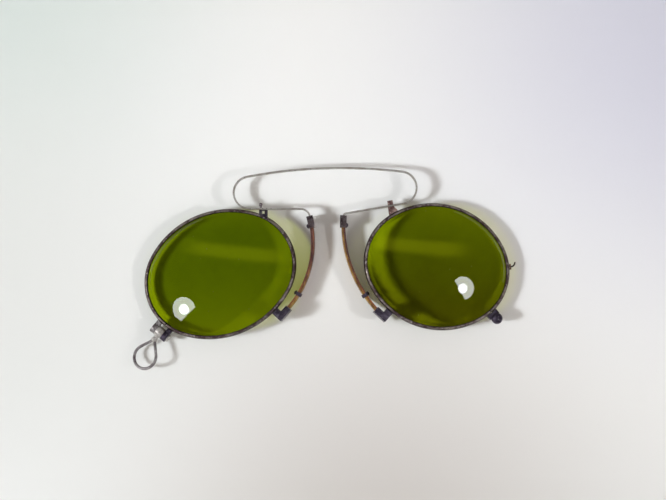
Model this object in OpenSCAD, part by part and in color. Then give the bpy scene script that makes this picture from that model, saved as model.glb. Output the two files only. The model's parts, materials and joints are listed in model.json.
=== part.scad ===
// Pince-nez with green oval lenses, held together by a hoop of flat spring
// ribbon. It lies face up on its nose guards, as it is put down on a table.
// X runs from the left lens to the right one as seen here, +Y towards the
// spring, +Z up. The origin is under the middle of the outline, on the table.

/* [Lens and rim] */
// Length of the left rim along its long axis, outside
left_rim_length = 39.4; // [36:0.1:42]
// Length of the right rim along its long axis, outside
right_rim_length = 37.3; // [36:0.1:42]
// Height of a rim across its short axis, outside
rim_height = 31.8; // [30:0.1:33]
// Radius of the rounded ends of the oval
rim_end_radius = 13.8; // [12:0.1:15]
// Width of the rim's wire, seen from the front
rim_wire_width = 0.95; // [0.8:0.05:1.3]
// Depth of the rim from front to back
rim_depth = 1.5; // [1.3:0.05:2]
// Radius of the dome that lens and rim follow
dome_radius = 55; // [50:1:90]
// Thickness of the glass
lens_thickness = 1.5; // [1.3:0.05:2]
// Thickness of the glass at its edge, in the rim's groove
lens_edge_thickness = 0.7; // [0.5:0.05:0.8]
// Depth of the groove in the rim's wire
groove_depth = 0.45; // [0.3:0.05:0.55]

/* [Stance of the halves] */
// Distance from the middle to the left rim's nose side
left_nose_x = 7.8; // [7.5:0.02:8.2]
// Distance from the middle to the right rim's nose side
right_nose_x = 9.14; // [8.8:0.02:9.6]
// Height of the lens centres above what the guards stand on
lens_z = 4.4; // [4.2:0.1:5]
// Clear distance between the left rim and the spring's arm above it
left_arm_gap = 0.2; // [0.16:0.02:0.4]
// Clear distance between the right rim and the spring's arm above it
right_arm_gap = 0.88; // [0.6:0.02:1.1]
// Droop of the left lens's long axis, in degrees
left_droop = 21.1; // [18:0.1:22]
// Droop of the right lens's long axis, in degrees
right_droop = 15.7; // [12:0.1:18]
// Angle by which each lens leans back to its outer end, in degrees
wrap_tilt = 4; // [2:0.5:5]
// Angle by which each lens rises to its lower edge, in degrees
pitch_tilt = 2; // [0:0.5:3]

/* [Spring ribbon] */
// Thickness of the ribbon
ribbon_thickness = 0.45; // [0.3:0.05:0.6]
// Width of the ribbon, which stands on edge
ribbon_width = 1.8; // [1.4:0.1:2.2]
// Height of the ribbon's middle line
ribbon_z = 4.4; // [4.2:0.1:4.8]
// Place of the bow's crown along Y
bow_top_y = 25.6; // [25:0.1:28]
// Radius of the long shallow bow
bow_radius = 130; // [110:1:200]
// How far the bow's crown stands to the right of the middle
bow_side_distance = 1.9; // [0:0.1:2.2]
// Distance from the middle to the centre of the left loop
left_loop_x = 19.25; // [18.8:0.05:20]
// Distance from the middle to the centre of the right loop
right_loop_x = 18.7; // [18.4:0.05:20]
// Radius of the left loop
left_loop_radius = 4.1; // [3.8:0.05:4.2]
// Radius of the right loop
right_loop_radius = 4.1; // [3.7:0.05:4.2]
// Distance from the middle to where each leaf flexes from the bow
flex_x = 11; // [8:0.5:13]
// Gap that parts the bow from each leaf at the flexing line
flex_gap = 0.12; // [0.08:0.02:0.2]
// Place of the left leaf's corner along Y
left_corner_y = 15.35; // [14.8:0.05:15.6]
// Place of the right leaf's corner along Y
right_corner_y = 14.0; // [13.9:0.05:15]
// Bend radius at the left leaf's corner
left_corner_radius = 2.3; // [0.8:0.1:2.3]
// Bend radius at the right leaf's corner
right_corner_radius = 0.8; // [0.6:0.1:1]

/* [Spring studs] */
// Distance from the middle to the left stud
left_stud_x = 15.9; // [15.4:0.1:16.4]
// Distance from the middle to the right stud
right_stud_x = 16.2; // [15.6:0.1:16.6]
// Width of the left stud's foot on the rim
left_stud_foot_width = 2.1; // [1.8:0.1:2.4]
// Width of the right stud's foot on the rim
right_stud_foot_width = 2.8; // [2:0.1:3]
// Width of the left stud under the ribbon
left_stud_top_width = 2.1; // [2:0.1:2.3]
// Width of the right stud under the ribbon
right_stud_top_width = 1.5; // [1.4:0.1:1.8]
// How far the right stud's foot is set out from under its top
right_stud_foot_distance = 0.6; // [0:0.1:0.8]
// How far the left pin stands outside the middle of its stud
left_pin_side_distance = 0.7; // [0.6:0.05:0.8]
// Width of the window in the left stud
stud_window_width = 0.65; // [0.4:0.05:0.7]
// Depth of a stud from front to back
stud_depth = 2; // [1.8:0.1:2.4]
// Diameter of the pin or screw through stud and ribbon
stud_pin_d = 0.6; // [0.5:0.05:0.7]
// Diameter of the left pin's round head
left_head_d = 0.95; // [0.8:0.05:1.2]
// Size of the right screw's square head
right_head_width = 1.35; // [1.1:0.05:1.5]
// How far a pin's head stands above the ribbon
head_height = 1.1; // [0.8:0.1:1.3]
// How deep a pin goes into its stud
pin_depth = 1.2; // [0.8:0.1:1.3]

/* [Nose guards] */
// Distance from the middle to the top of each guard
guard_top_x = 4.2; // [3.8:0.1:4.8]
// Place of the guard's top along Y
guard_top_y = 12.9; // [12.4:0.1:12.9]
// Radius of the left guard's curve beside the nose
left_guard_radius = 25; // [22:1:34]
// Radius of the right guard's curve beside the nose
right_guard_radius = 32; // [28:1:50]
// Depth of the guard from front to back
guard_depth = 4.4; // [4:0.1:5]
// Thickness of the guard's metal band
band_thickness = 0.4; // [0.3:0.05:0.5]
// Thickness of the facing on the band
pad_thickness = 0.65; // [0.5:0.05:0.7]
// How far the guard's back edge rises towards its lower end
guard_end_height = 2.4; // [1.6:0.1:2.6]
// Share of the guard's length that lies flat on its back edge
flat_share = 0.74; // [0.6:0.02:0.8]
// How far the cap reaches down the guard
cap_lower_length = 2.3; // [1.8:0.1:2.6]
// How far the cap reaches up the ribbon
cap_upper_length = 0.7; // [0.4:0.1:0.8]
// Height of the cap's lower edge
cap_base_height = 1.2; // [0.8:0.1:1.4]
// Wall of the cap and of the clip
clip_wall_thickness = 0.28; // [0.2:0.02:0.35]
// Length of the clip along the guard
clip_length = 0.9; // [0.7:0.1:1.2]
// Share of the guard's length at which the clip sits
clip_share = 0.8; // [0.7:0.01:0.84]
// Diameter of the rivets that hold the facing
rivet_d = 0.6; // [0.5:0.05:0.8]
// Diameter of a rivet's head
rivet_head_d = 1.3; // [1.1:0.1:1.5]
// Height of a rivet's head
rivet_head_h = 0.45; // [0.3:0.05:0.6]

/* [Foot blocks] */
// Angle on the left rim where the guard's foot sits, in degrees
left_foot_angle = -116; // [-119:0.5:-113]
// Angle on the right rim where the guard's foot sits, in degrees
right_foot_angle = -117.5; // [-120:0.5:-113]
// Length of the foot block along the rim
foot_length = 3.8; // [3.4:0.1:4.4]
// Width of the foot block away from the rim
foot_width = 1.6; // [1.5:0.05:1.8]
// Distance from the rim to the foot block
foot_gap = 1.2; // [1.1:0.05:1.6]
// How far the foot block is set towards the nose
foot_side_distance = 0.25; // [0:0.05:0.5]
// Depth of the foot block from front to back
foot_depth = 4.2; // [3.6:0.1:4.6]
// Length of the gusset along the rim
gusset_length = 1.9; // [1.6:0.1:2.2]
// Depth of the gusset from front to back
gusset_depth = 2.2; // [1.8:0.1:2.6]
// How far the guard's band reaches into the foot block
foot_grip_depth = 0.7; // [0.4:0.1:1]

/* [Left closing joint and bail] */
// Angle on the left rim where it closes, in degrees
left_closing_angle = -30; // [-34:0.5:-26]
// Distance from the rim to the knuckles' axis
knuckle_axis_distance = 1.95; // [1.85:0.05:2.2]
// Diameter of the knuckles
knuckle_d = 2.7; // [2.5:0.05:2.8]
// Length of each outer knuckle
outer_knuckle_length = 1.3; // [1.1:0.1:1.6]
// Length of the bail's knuckle
bail_knuckle_length = 1.9; // [1.6:0.1:2.2]
// Diameter of the closing screw
closing_screw_d = 1.0; // [0.8:0.05:1.2]
// Diameter of the screw's head
closing_head_d = 1.9; // [1.6:0.1:2.2]
// Height of the screw's head
closing_head_h = 0.5; // [0.4:0.05:0.7]
// Depth of the webs that join the knuckles to the rim
knuckle_web_depth = 1.5; // [1.2:0.1:1.8]
// Diameter of the bail's wire
bail_wire_d = 0.75; // [0.6:0.05:0.9]
// Radius of the bail's round end, to the middle of its wire
bail_radius = 3; // [2.7:0.1:3.4]
// Distance from the knuckles' axis to the bail's neck
bail_neck_distance = 2.3; // [2.1:0.1:2.6]
// Distance from the bail's neck to the middle of its round end
bail_length = 5; // [4.6:0.1:5.6]
// Diameter of the ball at the bail's neck
neck_d = 1.6; // [1.5:0.05:1.8]
// Diameter of the stem between knuckle and ball
stem_d = 1.2; // [0.9:0.1:1.4]
// Angle by which the bail leans along the rim, in degrees
bail_lean = 10; // [0:0.5:14]
// Angle by which the bail's loop is twisted about its neck, in degrees
bail_twist = 16; // [0:1:20]

/* [Right closing joint and catch] */
// Angle on the right rim where it closes, in degrees
right_closing_angle = -34; // [-40:0.5:-32]
// Width of the closing lugs along the rim
lug_width = 2.9; // [2.6:0.1:3.2]
// Thickness of each closing lug
lug_thickness = 0.8; // [0.6:0.05:0.9]
// Distance from the rim to the closing screw's axis
lug_axis_distance = 1.9; // [1.6:0.05:2.1]
// Distance from the rim to the lugs' square shoulders
lug_shoulder_length = 1.2; // [1:0.05:1.4]
// Radius of the lugs' round ends
lug_end_radius = 1.2; // [1:0.05:1.3]
// Diameter of the closing screw's shank
lug_screw_d = 1.0; // [0.8:0.05:1.2]
// Diameter of the nut behind the lugs
lug_nut_d = 1.9; // [1.6:0.1:2.2]
// Height of the nut behind the lugs
lug_nut_h = 0.6; // [0.4:0.05:0.7]
// Diameter of the closing screw's domed head
dome_head_d = 2.9; // [2.6:0.1:3]
// Height of the domed head
dome_head_h = 1.1; // [0.9:0.1:1.3]
// Angle on the right rim where the catch sits, in degrees
catch_angle = 20; // [12:1:24]
// Length of the catch's base along the rim
catch_base_length = 1.5; // [1.2:0.1:1.8]
// How far the catch's base stands out of the rim
catch_base_height = 0.45; // [0.35:0.05:0.6]
// Diameter of the catch's wire
catch_wire_d = 0.42; // [0.35:0.01:0.5]
// Radius of the catch's bend
catch_bend_radius = 1.1; // [0.8:0.1:1.3]

/* [Hidden] */

LEFT = -1;
RIGHT = 1;
round_fn = 96;
small_fn = 32;
oval_step = 4;
leaf_steps = 12;

// Clearances
seat = 0.02;
groove_play = 0.03;
running_fit = 0.04;
end_play = 0.05;
closing_gap = 0.35;
over = 1;
bite = 0.3;
slot_width = 0.3;

// Oval of the rim: two end arcs and two side arcs that meet tangent
half_height = rim_height / 2;
function half_length(s) = (s < 0 ? left_rim_length : right_rim_length) / 2;
function side_radius(s) =
  (pow(half_length(s), 2) + pow(half_height, 2) - 2 * half_length(s) * rim_end_radius)
  / (2 * (half_height - rim_end_radius));
function end_centre(s) = half_length(s) - rim_end_radius;
function side_centre(s) = side_radius(s) - half_height;
function arc_meet(s) = atan2(side_centre(s), end_centre(s));

// Dome: its centre lies below the lens plane, which cuts it between ends and sides
function plane_radius(s) = (half_length(s) + half_height) / 2;
function dome_drop(s) = sqrt(dome_radius * dome_radius - pow(plane_radius(s), 2));

// Values that differ from side to side
function nose_x(s) = s < 0 ? left_nose_x : right_nose_x;
function droop(s) = s < 0 ? left_droop : right_droop;
function corner_y(s) = s < 0 ? left_corner_y : right_corner_y;
function corner_radius(s) = s < 0 ? left_corner_radius : right_corner_radius;
function stud_x(s) = s < 0 ? left_stud_x : right_stud_x;
function stud_foot(s) = s < 0 ? left_stud_foot_width : right_stud_foot_width;
function stud_top(s) = s < 0 ? left_stud_top_width : right_stud_top_width;
function stud_offset(s) = s < 0 ? 0 : right_stud_foot_distance;
function pin_shift(s) = s < 0 ? left_pin_side_distance : 0;
function loop_x(s) = s < 0 ? left_loop_x : right_loop_x;
function loop_radius(s) = s < 0 ? left_loop_radius : right_loop_radius;
function guard_radius(s) = s < 0 ? left_guard_radius : right_guard_radius;
function foot_angle(s) = s < 0 ? left_foot_angle : right_foot_angle;

// Turning of points about each axis
function turn_x(p, a) = [p[0], p[1] * cos(a) - p[2] * sin(a), p[1] * sin(a) + p[2] * cos(a)];
function turn_y(p, a) = [p[0] * cos(a) + p[2] * sin(a), p[1], p[2] * cos(a) - p[0] * sin(a)];
function turn_z(p, a) = [p[0] * cos(a) - p[1] * sin(a), p[0] * sin(a) + p[1] * cos(a), p[2]];

// Height of the dome's middle surface over a point of the lens plane
function dome_height(s, x, y) = sqrt(dome_radius * dome_radius - x * x - y * y) - dome_drop(s);

// Point of the rim's outline whose outward normal has angle a, moved out by off
function on_end_arc(s, a) = abs(cos(a)) > cos(arc_meet(s));
function outline_x(s, a, off) = on_end_arc(s, a)
  ? sign(cos(a)) * end_centre(s) + (rim_end_radius + off) * cos(a)
  : (side_radius(s) + off) * cos(a);
function outline_y(s, a, off) = on_end_arc(s, a)
  ? (rim_end_radius + off) * sin(a)
  : (side_radius(s) + off) * sin(a) - sign(sin(a)) * side_centre(s);
function outline(s, a, off) =
  let (rim_x = outline_x(s, a, 0), rim_y = outline_y(s, a, 0))
  [outline_x(s, a, off), outline_y(s, a, off), dome_height(s, rim_x, rim_y)];

// A lens point turned as its half lies, and the rim's point furthest towards angle w
function as_it_lies(s, p) = turn_y(turn_x(turn_z(p, -droop(s)), -pitch_tilt), wrap_tilt);
function rim_reach(s, w) = as_it_lies(s, outline(s, w + droop(s), 0));

// Straight arm of a leaf: from its corner it touches the loop from below
function bow_centre(s) = [s * bow_side_distance, bow_top_y - bow_radius];
function loop_centre(s) =
  bow_centre(s) + (bow_radius - loop_radius(s)) * [sin(bow_end_angle(s)), cos(bow_end_angle(s))];
function corner(s) = [guard_top_x, corner_y(s)];
function arm_span(s) = norm(loop_centre(s) - corner(s));
function arm_angle(s) =
  let (rise = loop_centre(s) - corner(s))
  atan2(rise[1], rise[0]) - asin(loop_radius(s) / arm_span(s));
function arm_y(s, x) = corner_y(s) + (x - guard_top_x) * tan(arm_angle(s));
function corner_cut(s) = corner_radius(s) * tan((90 - arm_angle(s)) / 2);
function bend_centre(s) = [guard_top_x + corner_radius(s), corner_y(s) - corner_cut(s)];
function bow_end_angle(s) = asin((loop_x(s) - s * bow_side_distance) / (bow_radius - loop_radius(s)));
function flex_angle(s) = asin((flex_x - s * bow_side_distance) / bow_radius);
function arc_points(centre, r, from, to) = [
  for (i = [0 : leaf_steps])
  let (a = from + (to - from) * i / leaf_steps)
  centre + r * [cos(a), sin(a)]
];
gap_angle = atan(flex_gap / 2 / bow_radius);

// Under face of the arm and the loop, from which each rim hangs at its own distance
function under_arm(s, x) = arm_y(s, x) - ribbon_thickness / 2 / cos(arm_angle(s));
function under_loop(s, x) =
  let (across = x - loop_centre(s)[0], r = loop_radius(s) + ribbon_thickness / 2)
  abs(across) < r ? loop_centre(s)[1] - sqrt(r * r - across * across) : bow_top_y;
function under_leaf(s, x) = x < loop_centre(s)[0] ? under_arm(s, x) : under_loop(s, x);
function lens_x(s) = nose_x(s) - rim_reach(s, 180)[0];
function hanging_y(s) = min([
  for (w = [40:130])
  let (p = rim_reach(s, w))
  under_leaf(s, lens_x(s) + p[0]) - p[1]
]);
left_centre = [lens_x(LEFT), hanging_y(LEFT) - left_arm_gap, lens_z];
right_centre = [lens_x(RIGHT), hanging_y(RIGHT) - right_arm_gap, lens_z];
function lens_centre(s) = s < 0 ? left_centre : right_centre;

// A lens point in the half's frame, which has its nose side towards -X
function from_lens(s, p) = as_it_lies(s, p) + lens_centre(s);

// Guard: one arc from the cap to the foot block
foot_end_t = foot_side_distance + foot_length / 2 - foot_grip_depth;
foot_mid_n = foot_gap + foot_width / 2;
function foot_place(s, n, t) =
  let (a = foot_angle(s))
  from_lens(s, outline(s, a, n) + t * [sin(a), -cos(a), 0]);
guard_start = [guard_top_x, guard_top_y];
function guard_end(s) =
  let (p = foot_place(s, foot_mid_n, foot_end_t))
  [p[0], p[1]];
function guard_chord(s) = norm(guard_end(s) - guard_start);
function guard_centre(s) =
  let (along = (guard_end(s) - guard_start) / guard_chord(s))
  let (sink = sqrt(pow(guard_radius(s), 2) - pow(guard_chord(s) / 2, 2)))
  (guard_start + guard_end(s)) / 2 + sink * [-along[1], along[0]];
function guard_angle(s, p) =
  let (d = p - guard_centre(s))
  atan2(d[1], d[0]) + (d[1] < 0 ? 360 : 0);
function guard_from(s) = guard_angle(s, guard_start);
function guard_to(s) = guard_angle(s, guard_end(s));
function arc_degrees(s, length) = length / guard_radius(s) * 180 / PI;
function guard_share(s, share) = guard_from(s) + share * (guard_to(s) - guard_from(s));
function guard_point(s, a) = guard_centre(s) + guard_radius(s) * [cos(a), sin(a)];
function cap_rivet(s) = guard_from(s) + arc_degrees(s, cap_lower_length - rivet_head_d / 2);
function clip_rivet(s) = guard_share(s, clip_share);
function rise_start(s) = guard_share(s, flat_share);

// Layers of the guard, counted from its middle line towards the nose
band_back = -(band_thickness + pad_thickness) / 2;
band_front = band_back + band_thickness;
pad_back = band_front + seat;
pad_front = band_front + pad_thickness;
strap_back = band_back - seat - clip_wall_thickness;
strap_front = pad_front + seat + clip_wall_thickness;
cap_top = ribbon_z + ribbon_width / 2 + clip_wall_thickness;
rivet_z = guard_depth / 2;

// Left closing joint: knuckles along the rim, the bail's in the middle
outer_from = bail_knuckle_length / 2 + end_play;
outer_to = outer_from + outer_knuckle_length;

// Bail: a ring and two straight runs that meet at the neck
bail_half_angle = asin(bail_radius / bail_length);
bail_run = bail_length * cos(bail_half_angle);
function bail_point(p) =
  let (leant = turn_z(turn_x(p, -bail_twist), -bail_lean))
  let (axis = outline(LEFT, left_closing_angle, knuckle_axis_distance))
  from_lens(LEFT, turn_z(leant + [bail_neck_distance, 0, 0], left_closing_angle) + axis);

// Outline of the whole object, from which its middle is worked out
scan = [0:5:355];
rim_scan = [
  for (s = [LEFT, RIGHT], a = scan)
  let (p = from_lens(s, outline(s, a, 0)))
  [s * p[0], p[1]]
];
bail_edge = bail_radius + bail_wire_d / 2;
bail_scan = [
  for (a = scan)
  let (p = bail_point([bail_length + bail_edge * cos(a), bail_edge * sin(a), 0]))
  [-p[0], p[1]]
];
catch_reach = catch_base_height + catch_bend_radius + catch_wire_d / 2;
catch_tip = from_lens(RIGHT, outline(RIGHT, catch_angle, catch_reach));
outer_x = [for (p = concat(rim_scan, bail_scan)) p[0]];
outer_y = [for (p = concat(rim_scan, bail_scan)) p[1]];
left_end = min(outer_x);
right_end = max(max(outer_x), catch_tip[0]);
lower_end = min(outer_y);
upper_end = bow_top_y + ribbon_thickness / 2;
mid_x = (left_end + right_end) / 2;
mid_y = (lower_end + upper_end) / 2;

// Places a half: built for the right side, mirrored for the left
module half(s) {
  translate([-mid_x, -mid_y, 0])
    mirror([s < 0 ? 1 : 0, 0, 0])
      children();
}

// Lens frame: X along the long axis to the outer end, Z out of the front
module in_lens(s) {
  half(s)
    translate(lens_centre(s))
      rotate([0, wrap_tilt, 0])
        rotate([-pitch_tilt, 0, 0])
          rotate([0, 0, -droop(s)])
            children();
}

// Frame on the rim: X out of the rim, Y along it, Z out of the front
module on_rim(s, a, off = 0) {
  in_lens(s)
    translate(outline(s, a, off))
      rotate([0, 0, a])
        children();
}

// Straight-sided oval bar through the lens, its outline moved out by off
module oval_bar(s, off) {
  translate([0, 0, -half_height])
    linear_extrude(2 * half_height)
      polygon([for (a = [0 : oval_step : 359]) [outline_x(s, a, off), outline_y(s, a, off)]]);
}

// Domed sheet of thickness t about the dome's middle surface
module dome_sheet(s, t) {
  translate([0, 0, -dome_drop(s)])
    rotate_extrude($fn = 2 * round_fn)
      intersection() {
        difference() {
          circle(r = dome_radius + t / 2, $fn = 4 * round_fn);
          circle(r = dome_radius - t / 2, $fn = 4 * round_fn);
        }
        square([2 * half_height, 2 * dome_radius]);
      }
}

// Solid ring that the rim's wire fills, grown by g, for seats cut against it
module rim_envelope(s, g) {
  in_lens(s)
    difference() {
      intersection() {
        dome_sheet(s, rim_depth + 2 * g);
        oval_bar(s, g);
      }
      oval_bar(s, -rim_wire_width - g);
    }
}

module rim(s, closing_angle) {
  color("dimgray")
    difference() {
      rim_envelope(s, 0);
      in_lens(s)
        intersection() {
          dome_sheet(s, lens_edge_thickness + 2 * groove_play);
          oval_bar(s, groove_depth - rim_wire_width);
        }
      on_rim(s, closing_angle)
        cube([4 * rim_wire_width, closing_gap, 4 * rim_depth], center = true);
    }
}

module lens(s) {
  color([0.3, 0.4, 0.02, 0.85])
    in_lens(s)
      union() {
        intersection() {
          dome_sheet(s, lens_thickness);
          oval_bar(s, -rim_wire_width - groove_play);
        }
        intersection() {
          dome_sheet(s, lens_edge_thickness);
          oval_bar(s, groove_depth - rim_wire_width - groove_play);
        }
      }
}

// Stretch of ribbon along an arc, standing on edge
module ribbon_arc(centre, r, from, span) {
  translate([centre[0], centre[1], ribbon_z - ribbon_width / 2])
    rotate([0, 0, from])
      rotate_extrude(angle = span, $fn = 2 * round_fn)
        translate([r - ribbon_thickness / 2, 0])
          square([ribbon_thickness, ribbon_width]);
}

module spring_bow() {
  left_turn = flex_angle(LEFT) - gap_angle;
  right_turn = flex_angle(RIGHT) - gap_angle;
  color("silver")
    half(RIGHT)
      ribbon_arc(bow_centre(RIGHT), bow_radius, 90 - right_turn, left_turn + right_turn);
}

// One face of a leaf, off from its middle line: outer bow, loop, corner, end in the cap
function leaf_face(s, off) = concat(
  arc_points(bow_centre(s), bow_radius + off, 90 - flex_angle(s) - gap_angle, 90 - bow_end_angle(s)),
  arc_points(loop_centre(s), loop_radius(s) + off, 90 - bow_end_angle(s), arm_angle(s) - 90),
  arc_points(bend_centre(s), corner_radius(s) - off, 90 + arm_angle(s), 180),
  [[guard_top_x + off, guard_top_y + 2 * end_play]]
);

module leaf_ribbon(s) {
  outer = leaf_face(s, ribbon_thickness / 2);
  inner = leaf_face(s, -ribbon_thickness / 2);
  translate([0, 0, ribbon_z - ribbon_width / 2])
    linear_extrude(ribbon_width)
      polygon(concat(outer, [for (i = [len(inner) - 1 : -1 : 0]) inner[i]]));
}

module spring_leaf(s) {
  color("silver")
    half(s)
      difference() {
        leaf_ribbon(s);
        stud_bore(s);
      }
}

// Axis of the stud: Z runs from the rim outwards, through the ribbon
module stud_axis(s) {
  translate([stud_x(s), arm_y(s, stud_x(s)), ribbon_z])
    rotate([0, 0, arm_angle(s)])
      rotate([-90, 0, 0])
        children();
}

// Hole for the pin, through the ribbon and down into the stud
module stud_bore(s) {
  stud_axis(s)
    translate([pin_shift(s), 0, -pin_depth - end_play])
      cylinder(d = stud_pin_d + 2 * running_fit, h = 2 * pin_depth, $fn = small_fn);
}

module stud_shank(s, rise) {
  translate([pin_shift(s), 0, -pin_depth])
    cylinder(d = stud_pin_d, h = pin_depth + rise, $fn = small_fn);
}

// Stud's side view, with its top against the ribbon and its foot past the rim
module stud_outline(s) {
  top = stud_top(s) / 2;
  foot = stud_foot(s) / 2;
  set_out = stud_offset(s);
  reach = 4 * rim_wire_width;
  polygon([
    [-top, 0], [top, 0],
    [set_out + foot, -reach / 2], [set_out + foot, -reach],
    [set_out - foot, -reach], [set_out - foot, -reach / 2]
  ]);
}

module spring_stud(s) {
  color("dimgray")
    difference() {
      half(s)
        stud_axis(s)
          translate([0, 0, -ribbon_thickness / 2 - seat])
            rotate([90, 0, 0])
              translate([0, 0, -stud_depth / 2])
                linear_extrude(stud_depth)
                  stud_outline(s);
      rim_envelope(s, seat);
      in_lens(s)
        oval_bar(s, -rim_wire_width);
      half(s)
        stud_bore(s);
      if (s == LEFT)
        half(s)
          stud_axis(s)
            translate([-stud_window_width / 2, -stud_depth, -pin_depth - end_play])
              cube([stud_window_width, 2 * stud_depth, pin_depth - ribbon_thickness]);
    }
}

module left_stud_pin() {
  color("silver")
    half(LEFT)
      stud_axis(LEFT)
        union() {
          stud_shank(LEFT, head_height);
          translate([left_pin_side_distance, 0, head_height])
            sphere(d = left_head_d, $fn = small_fn);
        }
}

module right_stud_screw() {
  base = ribbon_thickness / 2 + seat;
  color("gray")
    half(RIGHT)
      stud_axis(RIGHT)
        union() {
          stud_shank(RIGHT, base);
          translate([-right_head_width / 2, -right_head_width / 2, base])
            cube([right_head_width, right_head_width, head_height]);
        }
}

// Sector between two layers of the guard, from angle a to angle b
module guard_sector(s, back, front, a, b, low, high) {
  centre = guard_centre(s);
  translate([centre[0], centre[1], low])
    rotate([0, 0, a])
      rotate_extrude(angle = b - a, $fn = 4 * round_fn)
        translate([guard_radius(s) + back, 0])
          square([front - back, high - low]);
}

// Space that band, pad and seat clearance take, for what clasps them
module guard_slot(s) {
  play = arc_degrees(s, seat);
  guard_sector(s, band_back - seat, pad_front + seat,
    guard_from(s) - play, guard_to(s) + play, -over, guard_depth + seat);
}

// Axis of a rivet at angle a: Z runs through the guard towards the nose
module rivet_axis(s, a) {
  place = guard_point(s, a);
  translate([place[0], place[1], rivet_z])
    rotate([0, 0, a])
      rotate([0, 90, 0])
        children();
}

module rivet_bores(s) {
  for (a = [cap_rivet(s), clip_rivet(s)]) {
    rivet_axis(s, a)
      cylinder(d = rivet_d + 2 * seat, h = 2 * over, center = true, $fn = small_fn);
  }
}

// What lies under the back edge where it rises towards the guard's lower end
module rise_cut(s) {
  start = guard_point(s, rise_start(s));
  run = guard_end(s) - start;
  reach = 2 * guard_depth;
  translate([start[0], start[1], 0])
    rotate([0, 0, atan2(run[1], run[0])])
      rotate([0, -atan(guard_end_height / norm(run)), 0])
        translate([0, -reach / 2, -reach])
          cube([norm(run) + reach, reach, reach]);
}

// Strip of the guard between two layers, with its rivet holes
module guard_strip(s, back, front) {
  difference() {
    guard_sector(s, back, front, guard_from(s), guard_to(s), 0, guard_depth);
    rise_cut(s);
    rivet_bores(s);
  }
}

module guard_band(s) {
  color([0.32, 0.15, 0.13])
    half(s)
      guard_strip(s, band_back, band_front);
}

module guard_pad(s) {
  color([0.5, 0.33, 0.15])
    half(s)
      guard_strip(s, pad_back, pad_front);
}

// Block over the guard's top, in which the ribbon's end is held as well
module guard_cap(s) {
  ribbon_slot = ribbon_thickness + 2 * seat;
  color([0.25, 0.22, 0.22])
    half(s)
      difference() {
        guard_sector(s, strap_back, strap_front,
          guard_from(s) - arc_degrees(s, cap_upper_length),
          guard_from(s) + arc_degrees(s, cap_lower_length),
          cap_base_height, cap_top);
        guard_slot(s);
        rivet_bores(s);
        translate([guard_top_x - ribbon_slot / 2, guard_top_y, ribbon_z - ribbon_width / 2 - seat])
          cube([ribbon_slot, 2 * over, ribbon_width + 2 * seat]);
      }
}

// Strap over the guard's front edge, which the lower rivet holds
module pad_clip(s) {
  reach = arc_degrees(s, clip_length / 2);
  color([0.25, 0.22, 0.22])
    half(s)
      difference() {
        guard_sector(s, strap_back, strap_front, clip_rivet(s) - reach, clip_rivet(s) + reach,
          rivet_z - rivet_head_d / 2, guard_depth + seat + clip_wall_thickness);
        guard_slot(s);
        rivet_bores(s);
      }
}

// Round head: a cap of a ball, d across and h high
module domed_head(d, h) {
  r = (d * d / 4 + h * h) / (2 * h);
  intersection() {
    translate([0, 0, h - r])
      sphere(r = r, $fn = round_fn);
    cylinder(d = 2 * d, h = h, $fn = small_fn);
  }
}

module pad_rivets(s) {
  color("gray")
    half(s)
      for (a = [cap_rivet(s), clip_rivet(s)]) {
        rivet_axis(s, a)
          translate([0, 0, strap_back - seat])
            union() {
              cylinder(d = rivet_d, h = strap_front - strap_back, $fn = small_fn);
              mirror([0, 0, 1])
                domed_head(rivet_head_d, rivet_head_h);
            }
      }
}

module foot_block(s) {
  color([0.2, 0.17, 0.22])
    difference() {
      on_rim(s, foot_angle(s))
        translate([foot_gap, -foot_side_distance - foot_length / 2, rim_depth / 2 - foot_depth])
          cube([foot_width, foot_length, foot_depth]);
      half(s)
        guard_slot(s);
    }
}

module foot_gusset(s) {
  inner_end = foot_length / 2 - foot_side_distance - gusset_length;
  color([0.25, 0.22, 0.24])
    difference() {
      on_rim(s, foot_angle(s))
        translate([-bite, inner_end, rim_depth / 2 - gusset_depth])
          cube([foot_gap + bite - seat, gusset_length, gusset_depth]);
      rim_envelope(s, seat);
    }
}

// Axis of the left closing joint: Y runs along the rim, X points away from it
module closing_axis() {
  on_rim(LEFT, left_closing_angle, knuckle_axis_distance)
    children();
}

// Barrel about the closing axis between two places along it
module barrel(d, from, to) {
  translate([0, from, 0])
    rotate([-90, 0, 0])
      cylinder(d = d, h = to - from, $fn = round_fn);
}

module closing_knuckle(from, to) {
  color("silver")
    difference() {
      closing_axis()
        difference() {
          union() {
            barrel(knuckle_d, from, to);
            translate([-knuckle_axis_distance - bite, from, -knuckle_web_depth / 2])
              cube([knuckle_axis_distance + bite, to - from, knuckle_web_depth]);
          }
          barrel(closing_screw_d + 2 * running_fit, from - over, to + over);
        }
      rim_envelope(LEFT, seat);
    }
}

module left_closing_screw() {
  head_from = -outer_to - seat - closing_head_h;
  color("gray")
    closing_axis()
      difference() {
        union() {
          barrel(closing_screw_d, head_from + closing_head_h / 2, outer_to);
          barrel(closing_head_d, head_from, head_from + closing_head_h);
        }
        translate([-slot_width / 2, head_from - over, -closing_head_d])
          cube([slot_width, over + closing_head_h / 2, 2 * closing_head_d]);
      }
}

module bail_knuckle() {
  color("lightgray")
    closing_axis()
      difference() {
        union() {
          barrel(knuckle_d, -bail_knuckle_length / 2, bail_knuckle_length / 2);
          rotate([0, 90, 0])
            cylinder(d = stem_d, h = bail_neck_distance, $fn = small_fn);
          translate([bail_neck_distance, 0, 0])
            sphere(d = neck_d, $fn = small_fn);
        }
        barrel(closing_screw_d + 2 * running_fit, -bail_knuckle_length, bail_knuckle_length);
      }
}

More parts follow.
